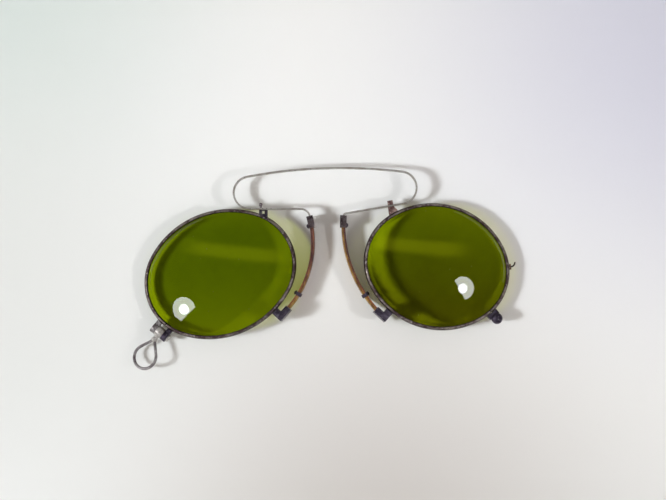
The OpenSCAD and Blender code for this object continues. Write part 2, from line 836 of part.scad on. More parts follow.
// Wire loop: a ring and two straight runs that close on the ball at the neck
module bail_loop() {
  color("silver")
    closing_axis()
      translate([bail_neck_distance, 0, 0])
        rotate([0, 0, -bail_lean])
          rotate([-bail_twist, 0, 0])
            difference() {
              union() {
                translate([bail_length, 0, 0])
                  rotate([0, 0, -90 - bail_half_angle])
                    rotate_extrude(angle = 180 + 2 * bail_half_angle, $fn = round_fn)
                      translate([bail_radius, 0])
                        circle(d = bail_wire_d, $fn = small_fn);
                for (side = [-1, 1]) {
                  rotate([0, 0, side * bail_half_angle])
                    rotate([0, 90, 0])
                      cylinder(d = bail_wire_d, h = bail_run, $fn = small_fn);
                }
              }
              sphere(d = neck_d + 2 * seat, $fn = small_fn);
            }
}

// Lug of the right closing joint between two heights
module closing_lug(low, high) {
  color([0.2, 0.17, 0.22])
    difference() {
      on_rim(RIGHT, right_closing_angle)
        translate([0, 0, low])
          linear_extrude(high - low)
            difference() {
              union() {
                translate([-bite, -lug_width / 2])
                  square([lug_shoulder_length + bite, lug_width]);
                translate([lug_axis_distance, 0])
                  circle(r = lug_end_radius, $fn = round_fn);
              }
              translate([lug_axis_distance, 0])
                circle(d = lug_screw_d + 2 * running_fit, $fn = round_fn);
            }
      in_lens(RIGHT)
        oval_bar(RIGHT, seat);
    }
}

module right_closing_screw() {
  color("dimgray")
    on_rim(RIGHT, right_closing_angle, lug_axis_distance)
      union() {
        translate([0, 0, lug_thickness + seat])
          domed_head(dome_head_d, dome_head_h);
        translate([0, 0, -lug_thickness - seat - lug_nut_h])
          cylinder(d = lug_nut_d, h = lug_nut_h, $fn = 6);
        translate([0, 0, -lug_thickness - seat - lug_nut_h])
          cylinder(d = lug_screw_d, h = 2 * lug_thickness + lug_nut_h + 3 * seat, $fn = round_fn);
      }
}

module catch_block(grow) {
  translate([-bite, -catch_base_length / 2 - grow, -catch_base_height - grow])
    cube([
      bite + catch_base_height + grow,
      catch_base_length + 2 * grow,
      2 * catch_base_height + 2 * grow
    ]);
}

module catch_base() {
  color([0.4, 0.33, 0.3])
    difference() {
      on_rim(RIGHT, catch_angle)
        catch_block(0);
      rim_envelope(RIGHT, seat);
    }
}

// Bent wire: it leaves the base outwards and turns up along the rim
module catch_hook() {
  color([0.2, 0.18, 0.2])
    on_rim(RIGHT, catch_angle)
      difference() {
        translate([catch_base_height, catch_bend_radius, 0])
          rotate([0, 0, -110])
            rotate_extrude(angle = 110, $fn = round_fn)
              translate([catch_bend_radius, 0])
                circle(d = catch_wire_d, $fn = small_fn);
        catch_block(seat);
      }
}

spring_bow();
spring_leaf(LEFT);  // left_spring_leaf
spring_leaf(RIGHT);  // right_spring_leaf
rim(LEFT, left_closing_angle);  // left_rim
rim(RIGHT, right_closing_angle);  // right_rim
lens(LEFT);  // left_lens
lens(RIGHT);  // right_lens
spring_stud(LEFT);  // left_spring_stud
spring_stud(RIGHT);  // right_spring_stud
left_stud_pin();
right_stud_screw();
guard_cap(LEFT);  // left_guard_cap
guard_cap(RIGHT);  // right_guard_cap
guard_band(LEFT);  // left_guard_band
guard_band(RIGHT);  // right_guard_band
guard_pad(LEFT);  // left_guard_pad
guard_pad(RIGHT);  // right_guard_pad
pad_clip(LEFT);  // left_pad_clip
pad_clip(RIGHT);  // right_pad_clip
pad_rivets(LEFT);  // left_pad_rivets
pad_rivets(RIGHT);  // right_pad_rivets
foot_block(LEFT);  // left_foot_block
foot_block(RIGHT);  // right_foot_block
foot_gusset(LEFT);  // left_foot_gusset
foot_gusset(RIGHT);  // right_foot_gusset
closing_knuckle(outer_from, outer_to);  // left_closing_knuckle_upper
closing_knuckle(-outer_to, -outer_from);  // left_closing_knuckle_lower
left_closing_screw();
bail_knuckle();
bail_loop();
closing_lug(seat / 2, lug_thickness);  // right_closing_lug_front
closing_lug(-lug_thickness, -seat / 2);  // right_closing_lug_back
right_closing_screw();
catch_base();
catch_hook();
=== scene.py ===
# %% [markdown]
# Hoop-spring pince-nez with green oval lenses.
# The eyeglasses lie with the domed side of their lenses up, and the camera looks almost
# straight down on them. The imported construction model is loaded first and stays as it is.
# Each piece that can be seen is then modelled over it in the same frame, so that nothing has
# to be fitted by eye.

# %% Load the construction model
import json
import math
import bmesh
import bpy
from mathutils import Matrix, Vector

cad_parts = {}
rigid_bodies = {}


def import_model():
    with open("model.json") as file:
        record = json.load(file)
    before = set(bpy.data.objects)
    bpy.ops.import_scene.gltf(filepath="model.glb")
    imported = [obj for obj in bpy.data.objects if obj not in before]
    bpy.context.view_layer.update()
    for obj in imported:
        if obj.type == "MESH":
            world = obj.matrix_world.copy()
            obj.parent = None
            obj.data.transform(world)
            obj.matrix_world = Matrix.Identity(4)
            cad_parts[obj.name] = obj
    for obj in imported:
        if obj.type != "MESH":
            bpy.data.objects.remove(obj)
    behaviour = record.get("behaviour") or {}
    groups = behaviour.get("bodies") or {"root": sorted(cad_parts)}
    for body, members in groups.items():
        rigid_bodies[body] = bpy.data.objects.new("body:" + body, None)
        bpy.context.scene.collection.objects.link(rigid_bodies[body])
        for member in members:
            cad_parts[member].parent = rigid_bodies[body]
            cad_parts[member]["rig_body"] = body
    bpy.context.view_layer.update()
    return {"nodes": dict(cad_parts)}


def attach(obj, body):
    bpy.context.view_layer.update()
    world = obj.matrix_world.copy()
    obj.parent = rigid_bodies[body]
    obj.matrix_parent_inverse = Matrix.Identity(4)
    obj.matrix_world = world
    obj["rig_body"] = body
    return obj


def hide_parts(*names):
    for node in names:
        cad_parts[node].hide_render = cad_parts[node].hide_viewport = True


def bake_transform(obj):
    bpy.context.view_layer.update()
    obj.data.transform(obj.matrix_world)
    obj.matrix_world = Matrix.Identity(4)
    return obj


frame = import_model()
MM = 0.001
LEFT = -1
RIGHT = 1
print("nodes", len(frame["nodes"]))

# %% [markdown]
# The photograph was taken from almost straight above, two degrees off on the side of the
# lenses' lower edges. A long lens far away keeps the two ovals from looking stretched
# towards the edges of the picture.
# The camera could be turned with angles, but a matrix built from the line of sight shows
# plainly what is meant: look along that line, then roll by a small angle.

# %% Camera
look_at = Vector((2.384, 4.316, 4.0)) * MM
camera_distance = 0.420
camera_tip = math.radians(2)
camera_roll = math.radians(0.9)
sight = Vector((0, math.sin(camera_tip), -math.cos(camera_tip)))
side = Vector((1, 0, 0))
above = side.cross(sight)
rolled_side = side * math.cos(camera_roll) - above * math.sin(camera_roll)
rolled_above = side * math.sin(camera_roll) + above * math.cos(camera_roll)
camera_data = bpy.data.cameras.new("photo_camera")
camera_data.lens = 90
camera_data.sensor_width = 36
camera_data.clip_start = 0.01
camera = bpy.data.objects.new("photo_camera", camera_data)
bpy.context.scene.collection.objects.link(camera)
turn = Matrix((rolled_side, rolled_above, -sight)).transposed().to_4x4()
camera.matrix_world = Matrix.Translation(look_at - sight * camera_distance) @ turn
bpy.context.scene.camera = camera
bpy.context.scene.view_settings.view_transform = "Standard"
print("camera stands", round(camera.location.z, 3), "m above the table")

# %% [markdown]
# Shaders are put together from nodes. Written out one by one, the nodes would hide what a
# finish is made of, so a few short helpers stand for the steps that come again and again:
# add a node with its settings, join two sockets, do a sum with masks, blend two colours
# by a mask, make a ramp of colours, and show one shader in place of another to some rays.

# %% Helpers for node trees
def add(tree, kind, settings=None, **values):
    item = tree.nodes.new(kind)
    for name, value in values.items():
        setattr(item, name, value)
    for name, value in (settings or {}).items():
        item.inputs[name].default_value = value
    return item


def join(tree, source, target):
    tree.links.new(source, target)


def combine(tree, operation, first, second, clamp=False):
    item = add(tree, "ShaderNodeMath", operation=operation, use_clamp=clamp)
    for value, socket in ((first, item.inputs[0]), (second, item.inputs[1])):
        if isinstance(value, (int, float)):
            socket.default_value = value
        else:
            join(tree, value, socket)
    return item.outputs[0]


def scaled(tree, value, factor, base):
    return combine(tree, "ADD", combine(tree, "MULTIPLY", value, factor), base)


def blend_colours(tree, factor, first, second):
    item = add(tree, "ShaderNodeMix", data_type="RGBA")
    join(tree, factor, item.inputs[0])
    for value, socket in ((first, item.inputs[6]), (second, item.inputs[7])):
        if isinstance(value, tuple):
            socket.default_value = (*value, 1)
        else:
            join(tree, value, socket)
    return item.outputs[2]


def ramp(tree, source, stops):
    item = add(tree, "ShaderNodeValToRGB")
    keys = item.color_ramp.elements
    while len(keys) < len(stops):
        keys.new(0.5)
    for key, (place, colour) in zip(keys, stops):
        key.position = place
        key.color = (*colour, 1)
    join(tree, source, item.inputs["Fac"])
    return item.outputs["Color"]


def swapped(tree, ray, usual, instead):
    item = add(tree, "ShaderNodeMixShader")
    join(tree, ray, item.inputs["Fac"])
    join(tree, usual, item.inputs[1])
    join(tree, instead, item.inputs[2])
    return item.outputs[0]


def new_finish(name):
    material = bpy.data.materials.new(name)
    material.use_nodes = True
    tree = material.node_tree
    shader = tree.nodes["Principled BSDF"]
    return material, tree, shader


# %% [markdown]
# Patterns come from where a point lies on its piece, which Object coordinates give in
# metres. A noise of scale 500 therefore has clouds of about two millimetres. The helpers
# below read the place, stretch it, lay a noise of some scale, detail and roughness over it,
# keep only a noise's peaks, measure how far a value has come from one number to another,
# and turn a pattern into relief.

# %% Helpers for patterns
def place_on(tree):
    place = add(tree, "ShaderNodeTexCoord").outputs["Object"]
    split = add(tree, "ShaderNodeSeparateXYZ")
    join(tree, place, split.inputs[0])
    return place, split.outputs["X"], split.outputs["Y"]


def stretched(tree, place, scale, turned=(0, 0, 0)):
    item = add(tree, "ShaderNodeMapping", {"Scale": scale, "Rotation": turned})
    join(tree, place, item.inputs["Vector"])
    return item.outputs["Vector"]


def noise(tree, place, scale, detail, roughness=0.5, distortion=0.0):
    item = add(tree, "ShaderNodeTexNoise", {
        "Scale": scale, "Detail": detail, "Roughness": roughness, "Distortion": distortion})
    join(tree, place, item.inputs["Vector"])
    return item.outputs["Fac"]


def peaks(tree, value, level, gain):
    return combine(tree, "MULTIPLY", combine(tree, "SUBTRACT", value, level, True), gain, True)


def progress(tree, value, start, end, top=1.0, eased=False):
    item = add(tree, "ShaderNodeMapRange", {"From Min": start, "From Max": end, "To Max": top})
    item.interpolation_type = "SMOOTHSTEP" if eased else "LINEAR"
    join(tree, value, item.inputs["Value"])
    return item.outputs[0]


def relief(tree, height, strength, distance):
    item = add(tree, "ShaderNodeBump", {"Strength": strength, "Distance": distance})
    join(tree, height, item.inputs["Height"])
    return item.outputs["Normal"]


# %% [markdown]
# Old steel is never one grey. Damp leaves soft brown clouds and small dark pits, knocks leave bright
# nicks, which also serve as painted glints, and wiping leaves hair-fine scratches. All four are wanted
# on every metal piece, so they are made once as a node group, which each finish then places.

# %% Wear that all the metals share
wear = bpy.data.node_groups.new("metal_wear", "ShaderNodeTree")
for label in ("Clouds", "Pits", "Nicks_and_glints"):
    wear.interface.new_socket(label, in_out="OUTPUT", socket_type="NodeSocketFloat")
wear.interface.new_socket("Normal", in_out="OUTPUT", socket_type="NodeSocketVector")
wear_place = add(wear, "ShaderNodeTexCoord").outputs["Object"]
clouds = noise(wear, wear_place, 420, 6, 0.62)
grains = noise(wear, wear_place, 3200, 4, 0.6)
nick_and_glint_noise = noise(wear, wear_place, 1900, 2)
hairs = noise(wear, stretched(wear, wear_place, (1, 0.12, 1), (0, 0, 0.6)), 9000, 2)
worn_relief = relief(wear, scaled(wear, grains, 0.7, hairs), 0.35, 0.00003)
wear_out = add(wear, "NodeGroupOutput")
join(wear, clouds, wear_out.inputs["Clouds"])
join(wear, peaks(wear, grains, 0.6, 7), wear_out.inputs["Pits"])
# Bright nicks, which also serve as painted glints.
join(wear, peaks(wear, nick_and_glint_noise, 0.57, 9), wear_out.inputs["Nicks_and_glints"])
join(wear, worn_relief, wear_out.inputs["Normal"])
print("metal wear gives", [socket.name for socket in wear_out.inputs if socket.name])

# %% [markdown]
# A metal finish is then four colours: the worn metal, its tarnish, the pits, and the light metal that
# shows in a nick, which also stands in as a painted glint. The clouds choose between the first two and
# dull the gloss, a pit is rougher and a nick is smoother. One function makes them all, so the pieces
# look like one old object. The last argument says how much lighter a nick and painted glint is than
# the worn metal.

# %% Metal finishes
PIT_DULLS = 0.25
NICK_POLISHES = 0.15
NICK_AND_GLINT_TINT = 1.1


def worn_metal(name, worn, tarnish, pit, low=0.42, high=0.62, gloss=(0.24, 0.5), bare=0.12):
    material, tree, shader = new_finish(name)
    marks = add(tree, "ShaderNodeGroup")
    marks.node_tree = wear
    clouded = ramp(tree, marks.outputs["Clouds"], [(low, worn), (high, tarnish)])
    pitted = blend_colours(tree, marks.outputs["Pits"], clouded, pit)
    # The nick colour is bare metal and also a painted glint.
    nick_and_glint = tuple(bare + NICK_AND_GLINT_TINT * part for part in worn)
    colour = blend_colours(tree, marks.outputs["Nicks_and_glints"], pitted, nick_and_glint)
    join(tree, colour, shader.inputs["Base Color"])
    dull = scaled(tree, marks.outputs["Clouds"], gloss[1] - gloss[0], gloss[0])
    pit_dull = combine(tree, "MULTIPLY", marks.outputs["Pits"], PIT_DULLS)
    dull = combine(tree, "ADD", dull, pit_dull, True)
    nick_gloss = combine(tree, "MULTIPLY", marks.outputs["Nicks_and_glints"], NICK_POLISHES)
    dull = combine(tree, "SUBTRACT", dull, nick_gloss, True)
    join(tree, dull, shader.inputs["Roughness"])
    join(tree, marks.outputs["Normal"], shader.inputs["Normal"])
    shader.inputs["Metallic"].default_value = 0.8
    return material, colour, marks.outputs["Clouds"]


def metal(name, **recipe):
    return worn_metal(name, **recipe)[0]


spring_steel = metal("spring_steel", worn=(0.48, 0.465, 0.44), tarnish=(0.27, 0.225, 0.19),
                     pit=(0.09, 0.05, 0.028), low=0.42, high=0.70, bare=0.02)
bright_steel = metal("bright_steel", worn=(0.62, 0.59, 0.56), tarnish=(0.26, 0.22, 0.20),
                     pit=(0.10, 0.06, 0.05), low=0.44, high=0.68, bare=0.04)
bail_steel = metal("bail_steel", worn=(0.40, 0.38, 0.38), tarnish=(0.12, 0.09, 0.10),
                   pit=(0.05, 0.03, 0.03), low=0.38, high=0.62)
dark_steel = metal("dark_steel", worn=(0.095, 0.078, 0.115), tarnish=(0.03, 0.022, 0.04),
                   pit=(0.10, 0.055, 0.04), low=0.4, high=0.6)
cap_steel = metal("cap_steel", worn=(0.10, 0.075, 0.08), tarnish=(0.028, 0.016, 0.02),
                  pit=(0.20, 0.17, 0.16), low=0.4, high=0.6)
bronze_solder = metal("bronze_solder", worn=(0.40, 0.27, 0.235), tarnish=(0.15, 0.085, 0.08),
                      pit=(0.06, 0.03, 0.03), low=0.42, high=0.6, gloss=(0.38, 0.6))
metals = (spring_steel, bright_steel, bail_steel, dark_steel, cap_steel, bronze_solder)
print("metal finishes", [item.name for item in metals])

# %% [markdown]
# The rims are painted bright only along the crest of their wire and nearly black on the flanks: a
# painted highlight along the top of the round wire and painted shade on its sides, over the colour of
# the worn metal. Each rim therefore carries an attribute which is 1 on the crest and 0 on the flanks,
# and the finish mixes by it. The clouds make the border between the two ragged.

# %% Rim finish
RIM_SHADED_FLANK = (0.030, 0.016, 0.02)
rim_steel, rim_colour, rim_clouds = worn_metal(
    "rim_steel", worn=(0.32, 0.27, 0.24), tarnish=(0.080, 0.05, 0.053),
    pit=(0.03, 0.015, 0.018), low=0.36, high=0.54, bare=0.22)
rim_tree = rim_steel.node_tree
crest_highlight = add(rim_tree, "ShaderNodeAttribute", attribute_name="crest_highlight").outputs["Fac"]
ragged = combine(rim_tree, "SUBTRACT", combine(rim_tree, "MULTIPLY", rim_clouds, 0.7), 0.35)
bared = combine(rim_tree, "ADD", crest_highlight, ragged)
bared = combine(rim_tree, "MULTIPLY", bared, 1.15, True)
# Painted highlight on the crest of the wire, painted shade on its flanks.
rim_look = blend_colours(rim_tree, bared, RIM_SHADED_FLANK, rim_colour)
join(rim_tree, rim_look, rim_tree.nodes["Principled BSDF"].inputs["Base Color"])
print("rim finish reads", [item.attribute_name for item in rim_tree.nodes if item.type == "ATTRIBUTE"])

# %% [markdown]
# The guards have two layers. The outer strip is lacquered dark red and turns orange-brown towards its
# lower end. A clear coat on the shader gives the lacquer's thin gloss, over a rougher ground that the
# same noise makes uneven.

# %% Lacquer of the guard bands
guard_band, band_tree, band_shader = new_finish("guard_band")
band_place, _, band_y = place_on(band_tree)
band_lower = progress(band_tree, band_y, 0.004, -0.010)
band_noise = noise(band_tree, band_place, 700, 7, 0.65)
band_lighter_low = scaled(band_tree, band_lower, 0.45, combine(band_tree, "SUBTRACT", band_noise, 0.42))
lacquer = ramp(band_tree, band_lighter_low, [
    (0.02, (0.055, 0.012, 0.010)), (0.3, (0.13, 0.035, 0.018)), (0.6, (0.33, 0.12, 0.035))])
join(band_tree, lacquer, band_shader.inputs["Base Color"])
join(band_tree, scaled(band_tree, band_noise, 0.3, 0.18), band_shader.inputs["Roughness"])
join(band_tree, relief(band_tree, band_noise, 0.3, 0.00004), band_shader.inputs["Normal"])
band_shader.inputs["Coat Weight"].default_value = 0.4
band_shader.inputs["Coat Roughness"].default_value = 0.2
print("band finish has", len(band_tree.nodes), "nodes")

# %% [markdown]
# The strip that rests on the nose is polished amber-brown shell with longer, darker flames in it. The
# flames are a noise that is stretched along the guard. The upper part of the left facing is painted
# maroon, a painted shade on the side of that guard that faces away from the lamp, so there a second
# ramp of colours takes over from the amber. A little light goes into shell and comes out again, which
# Subsurface gives.

# %% Shell of the nose pads
shell_facing, shell_tree, shell_shader = new_finish("shell_facing")
shell_place, shell_x, shell_y = place_on(shell_tree)
left_side = progress(shell_tree, shell_x, 0.002, 0.0)
upper_end = progress(shell_tree, shell_y, -0.010, 0.002)
# Painted shade: the upper part of the left facing turns maroon.
painted_shade_mask = combine(shell_tree, "MULTIPLY", left_side, upper_end)
flames = noise(shell_tree, stretched(shell_tree, shell_place, (1, 0.22, 0.7)), 900, 5, 0.55, 0.6)
amber = ramp(shell_tree, flames, [
    (0.34, (0.10, 0.04, 0.008)), (0.5, (0.26, 0.14, 0.032)), (0.68, (0.42, 0.26, 0.075))])
shade_maroon = ramp(shell_tree, flames, [(0.36, (0.045, 0.010, 0.008)), (0.62, (0.15, 0.045, 0.022))])
shell_look = blend_colours(shell_tree, painted_shade_mask, amber, shade_maroon)
join(shell_tree, shell_look, shell_shader.inputs["Base Color"])
shell_grain = noise(shell_tree, shell_place, 6000, 3)
join(shell_tree, relief(shell_tree, shell_grain, 0.15, 0.00002), shell_shader.inputs["Normal"])
join(shell_tree, scaled(shell_tree, flames, 0.25, 0.14), shell_shader.inputs["Roughness"])
shell_shader.inputs["Subsurface Weight"].default_value = 0.08
shell_shader.inputs["Subsurface Radius"].default_value = (0.0006, 0.0003, 0.0001)
shell_shader.inputs["Coat Weight"].default_value = 0.35
shell_shader.inputs["Coat Roughness"].default_value = 0.1
print("shell finish has", len(shell_tree.nodes), "nodes")

# %% [markdown]
# Old glass has specks of dirt on it, which are darker and have no polish. They could be a
# noise, but a Voronoi pattern gives separate round dots. A second, wider noise lets them
# through only in patches, as dirt gathers.

# %% Specks of dirt
def specks_of_dirt(tree, place):
    dust = add(tree, "ShaderNodeTexVoronoi", {"Scale": 520, "Randomness": 1.0})
    join(tree, place, dust.inputs["Vector"])
    dot = combine(tree, "LESS_THAN", dust.outputs["Distance"], 0.075)
    patchy = combine(tree, "GREATER_THAN", noise(tree, place, 260, 1), 0.56)
    return combine(tree, "MULTIPLY", dot, patchy)


# %% [markdown]
# The lenses are dark olive-green glass of one tint, but their colours are not alike. The left one is
# painted lighter and turns yellower towards its lower edge, and the right one is painted darker and
# turns browner there. This is painted light and shade, and on the right lens a painted brown
# reflection. Real glass tints the light that falls through it on the table. Path tracing finds that
# light slowly, so for shadow rays the glass is swapped for a tinted Transparent shader, a common
# shortcut. Rays that gather the light of the room under the glass mostly cross it at a slant, so they
# get a darker tint.

# %% Lens glass
def see_through(tree, colour):
    return add(tree, "ShaderNodeBsdfTransparent", {"Color": (*colour, 1)}).outputs[0]


def lens_finish(name, upper, lower, sunlit, roomlit):
    material, tree, glass = new_finish(name)
    glass.inputs["Transmission Weight"].default_value = 1
    glass.inputs["IOR"].default_value = 1.5
    place, _, y = place_on(tree)
    # Painted light and shade: the tint changes towards the lower edge.
    lower_light_and_shade = progress(tree, y, 0.011, -0.014)
    streaks = combine(tree, "SUBTRACT", noise(tree, place, 60, 3), 0.5)
    tint_and_painted_shade = ramp(tree, scaled(tree, streaks, 0.5, lower_light_and_shade), [(0.1, upper), (0.9, lower)])
    speck = specks_of_dirt(tree, place)
    dirt_and_painted_shade = blend_colours(tree, speck, tint_and_painted_shade, (0.05, 0.055, 0.002))
    join(tree, dirt_and_painted_shade, glass.inputs["Base Color"])
    join(tree, combine(tree, "MULTIPLY", speck, 0.4), glass.inputs["Roughness"])
    ray = add(tree, "ShaderNodeLightPath")
    under = swapped(tree, ray.outputs["Is Diffuse Ray"], glass.outputs["BSDF"],
                    see_through(tree, roomlit))
    surface = swapped(tree, ray.outputs["Is Shadow Ray"], under, see_through(tree, sunlit))
    join(tree, surface, tree.nodes["Material Output"].inputs["Surface"])
    return material


# Painted light and shade in the two tints, with a painted brown reflection on the right lens.
GLASS = {
    LEFT: lens_finish("left_lens_glass", upper=(0.29, 0.40, 0.001), lower=(0.43, 0.54, 0.001),
                      sunlit=(0.57, 0.60, 0.06), roomlit=(0.34, 0.36, 0.03)),
    RIGHT: lens_finish("right_lens_glass", upper=(0.34, 0.44, 0.001), lower=(0.25, 0.27, 0.001),
                       sunlit=(0.59, 0.585, 0.06), roomlit=(0.34, 0.35, 0.03)),
}
print("glass finishes", GLASS[LEFT].name, GLASS[RIGHT].name)

# %% [markdown]
# The two halves are not alike: the old spring is bent, and the right oval is shorter. The
# sizes below are those of the construction model, in millimetres and degrees. Each half is
# thought of in a frame whose nose side lies towards -X, and the left one is mirrored into
# place. Each lens has a frame of its own, turned by its droop, its pitch and its wrap round
# the face.

# %% Sizes and frames of the two halves
NAME = {LEFT: "left", RIGHT: "right"}
DROOP = {LEFT: 21.1, RIGHT: 15.7}
CENTRE = {LEFT: Vector((27.1032, -0.690634, 4.4)), RIGHT: Vector((27.597, 0.316565, 4.4))}
MIDDLE = Vector((-0.917133, 0.628457, 0))
WRAP_TILT = 4
PITCH_TILT = 2


def half_frame(s):
    mirror = Matrix.Diagonal((s, 1, 1, 1))
    return Matrix.Scale(MM, 4) @ Matrix.Translation(-MIDDLE) @ mirror


def lens_frame(s):
    wrap = Matrix.Rotation(math.radians(WRAP_TILT), 4, "Y")
    pitch = Matrix.Rotation(math.radians(-PITCH_TILT), 4, "X")
    droop = Matrix.Rotation(-math.radians(DROOP[s]), 4, "Z")
    return half_frame(s) @ Matrix.Translation(CENTRE[s]) @ (wrap @ pitch) @ droop


for s in (LEFT, RIGHT):
    centre = lens_frame(s).translation / MM
    print(NAME[s], "lens centre", [round(x, 2) for x in centre], "mm")

# %% [markdown]
# The oval of a lens is drawn with four arcs, as an optician's template is: two of a small
# radius round the ends and two of a large one along the sides, which meet without a kink.
# An ellipse would be simpler, but its ends are more pointed than those of the real lens. A
# point of the outline is asked for by its angle and by how far it lies outside the oval.

# %% Oval and dome of a lens
RIM_LENGTH = {LEFT: 39.4, RIGHT: 37.3}
HALF_HEIGHT = 15.9
END_RADIUS = 13.8
DOME_RADIUS = 55.0


def end_centre(s):
    return RIM_LENGTH[s] / 2 - END_RADIUS


def side_radius(s):
    half = RIM_LENGTH[s] / 2
    return (half ** 2 + HALF_HEIGHT ** 2 - 2 * half * END_RADIUS) / (2 * (HALF_HEIGHT - END_RADIUS))


def side_centre(s):
    return side_radius(s) - HALF_HEIGHT


def arc_meet(s):
    return math.degrees(math.atan2(side_centre(s), end_centre(s)))


def outline(s, angle, off):
    cosine = math.cos(math.radians(angle))
    sine = math.sin(math.radians(angle))
    if abs(cosine) > math.cos(math.radians(arc_meet(s))):
        reach = END_RADIUS + off
        return Vector((math.copysign(end_centre(s), cosine) + reach * cosine, reach * sine, 0))
    reach = side_radius(s) + off
    return Vector((reach * cosine, reach * sine - math.copysign(side_centre(s), sine), 0))


def off_outline(s, p):
    if math.degrees(math.atan2(abs(p.y), abs(p.x) - end_centre(s))) < arc_meet(s):
        return math.hypot(abs(p.x) - end_centre(s), p.y) - END_RADIUS
    return math.hypot(p.x, abs(p.y) + side_centre(s)) - side_radius(s)


def domed(s, p, off_middle):
    mean_radius = (RIM_LENGTH[s] / 2 + HALF_HEIGHT) / 2
    drop = math.sqrt(DOME_RADIUS ** 2 - mean_radius ** 2)
    return Vector((p.x, p.y, math.sqrt((DOME_RADIUS + off_middle) ** 2 - p.x ** 2 - p.y ** 2) - drop))


print("arcs meet at", round(arc_meet(LEFT), 1), "and", round(arc_meet(RIGHT), 1), "degrees")

# %% [markdown]
# Most long pieces of this object are one section carried along arcs and straight runs, as
# wire and strip are bent. In Blender that is a ring of points that Spin turns about each
# arc's centre in turn: Spin leaves its last ring selected, so the next call goes on from
# there. Spin counts a positive angle clockwise seen from above, so the helper turns it.

# %% Helpers for bending a section
def nothing_selected():
    if bpy.context.object and bpy.context.object.mode != "OBJECT":
        bpy.ops.object.mode_set(mode="OBJECT")
    bpy.ops.object.select_all(action="DESELECT")


def ring_of(name, points):
    nothing_selected()
    bpy.ops.mesh.primitive_circle_add(vertices=len(points), radius=1)
    ring = bpy.context.object
    ring.name = name
    for corner, point in zip(ring.data.vertices, points):
        corner.co = point
    bpy.ops.object.mode_set(mode="EDIT")
    bpy.ops.mesh.select_mode(type="VERT")
    bpy.ops.mesh.select_all(action="SELECT")
    return ring


def sweep(centre, degrees, steps):
    bpy.ops.mesh.spin(steps=steps, angle=-math.radians(degrees),
                      center=(centre[0], centre[1], 0), axis=(0, 0, 1))


def run_on(step):
    bpy.ops.mesh.extrude_region_move(TRANSFORM_OT_translate={"value": step})


def fill_each_end(piece):
    bpy.ops.object.mode_set(mode="OBJECT")
    mesh = bmesh.new()
    mesh.from_mesh(piece.data)
    open_edges = [edge for edge in mesh.edges if edge.is_boundary]
    bmesh.ops.holes_fill(mesh, edges=open_edges, sides=0)
    mesh.to_mesh(piece.data)
    mesh.free()


def quarter_turn(x, y, radius, begin):
    angles = [math.radians(begin + 90 * step / 4) for step in range(5)]
    return [(x + radius * math.cos(angle), y + radius * math.sin(angle)) for angle in angles]


# %% [markdown]
# Each piece is modelled in millimetres in its own handy frame. The last step is the same for
# all: move the mesh into the object's frame, turn its faces outwards, smooth it apart from
# sharp edges, give it its finish, and say which body carries it and which node it replaces.

# %% Helper for finishing a piece
def finish_piece(piece, matrix, material, body, nodes, smooth):
    nothing_selected()
    piece.data.transform(matrix)
    piece.select_set(True)
    bpy.context.view_layer.objects.active = piece
    bpy.ops.object.mode_set(mode="EDIT")
    bpy.ops.mesh.select_all(action="SELECT")
    bpy.ops.mesh.normals_make_consistent(inside=False)
    bpy.ops.object.mode_set(mode="OBJECT")
    bpy.ops.object.shade_smooth_by_angle(angle=math.radians(smooth))
    piece.data.materials.clear()
    piece.data.materials.append(material)
    if body:
        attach(piece, body)
    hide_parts(*nodes)
    print(piece.name, len(piece.data.polygons), "faces")


# %% [markdown]
# A rim is one channelled steel wire, bent to an oval. It could be made from a curve with a
# bevel, but the split at the closing joint, the groove for the glass and the dome are easier
# with a section that is swept. The section is a rounded oval, 0.95 mm wide and 1.5 mm deep,
# with the groove cut into its inner side. Last, every point is lifted onto the dome.

# %% Section of the rim wire
WIRE_WIDTH = 0.95
WIRE_DEPTH = 1.5
WIRE_STEPS = 26
SQUARENESS = 2.3
GROOVE_EDGE = 153.8
GROOVE_DEPTH = 0.45
GROOVE_HALF = 0.38


def wire_section():
    points = []
    for step in range(WIRE_STEPS + 1):
        angle = math.radians(-GROOVE_EDGE + 2 * GROOVE_EDGE * step / WIRE_STEPS)
        cosine = math.cos(angle)
        sine = math.sin(angle)
        aside = WIRE_WIDTH / 2 * math.copysign(abs(cosine) ** (2 / SQUARENESS), cosine)
        depth = WIRE_DEPTH / 2 * math.copysign(abs(sine) ** (2 / SQUARENESS), sine)
        points.append((-WIRE_WIDTH / 2 + aside, depth))
    points.append((GROOVE_DEPTH - WIRE_WIDTH, GROOVE_HALF))
    points.append((GROOVE_DEPTH - WIRE_WIDTH, -GROOVE_HALF))
    return points


print("wire section", len(wire_section()), "points")

# %% [markdown]
# The sweep starts at one side of the split and goes round over five arcs to the other side.
# While the rim is still flat, each point's distance from the middle of the wire is known, and that
# gives the crest mark where the rim's finish paints its highlight.

# %% Rims
CLOSING_ANGLE = {LEFT: -30.0, RIGHT: -34.0}
HALF_SPLIT = 0.175
CREST_WIDTH = 0.82
CREST_FALL = 2.2


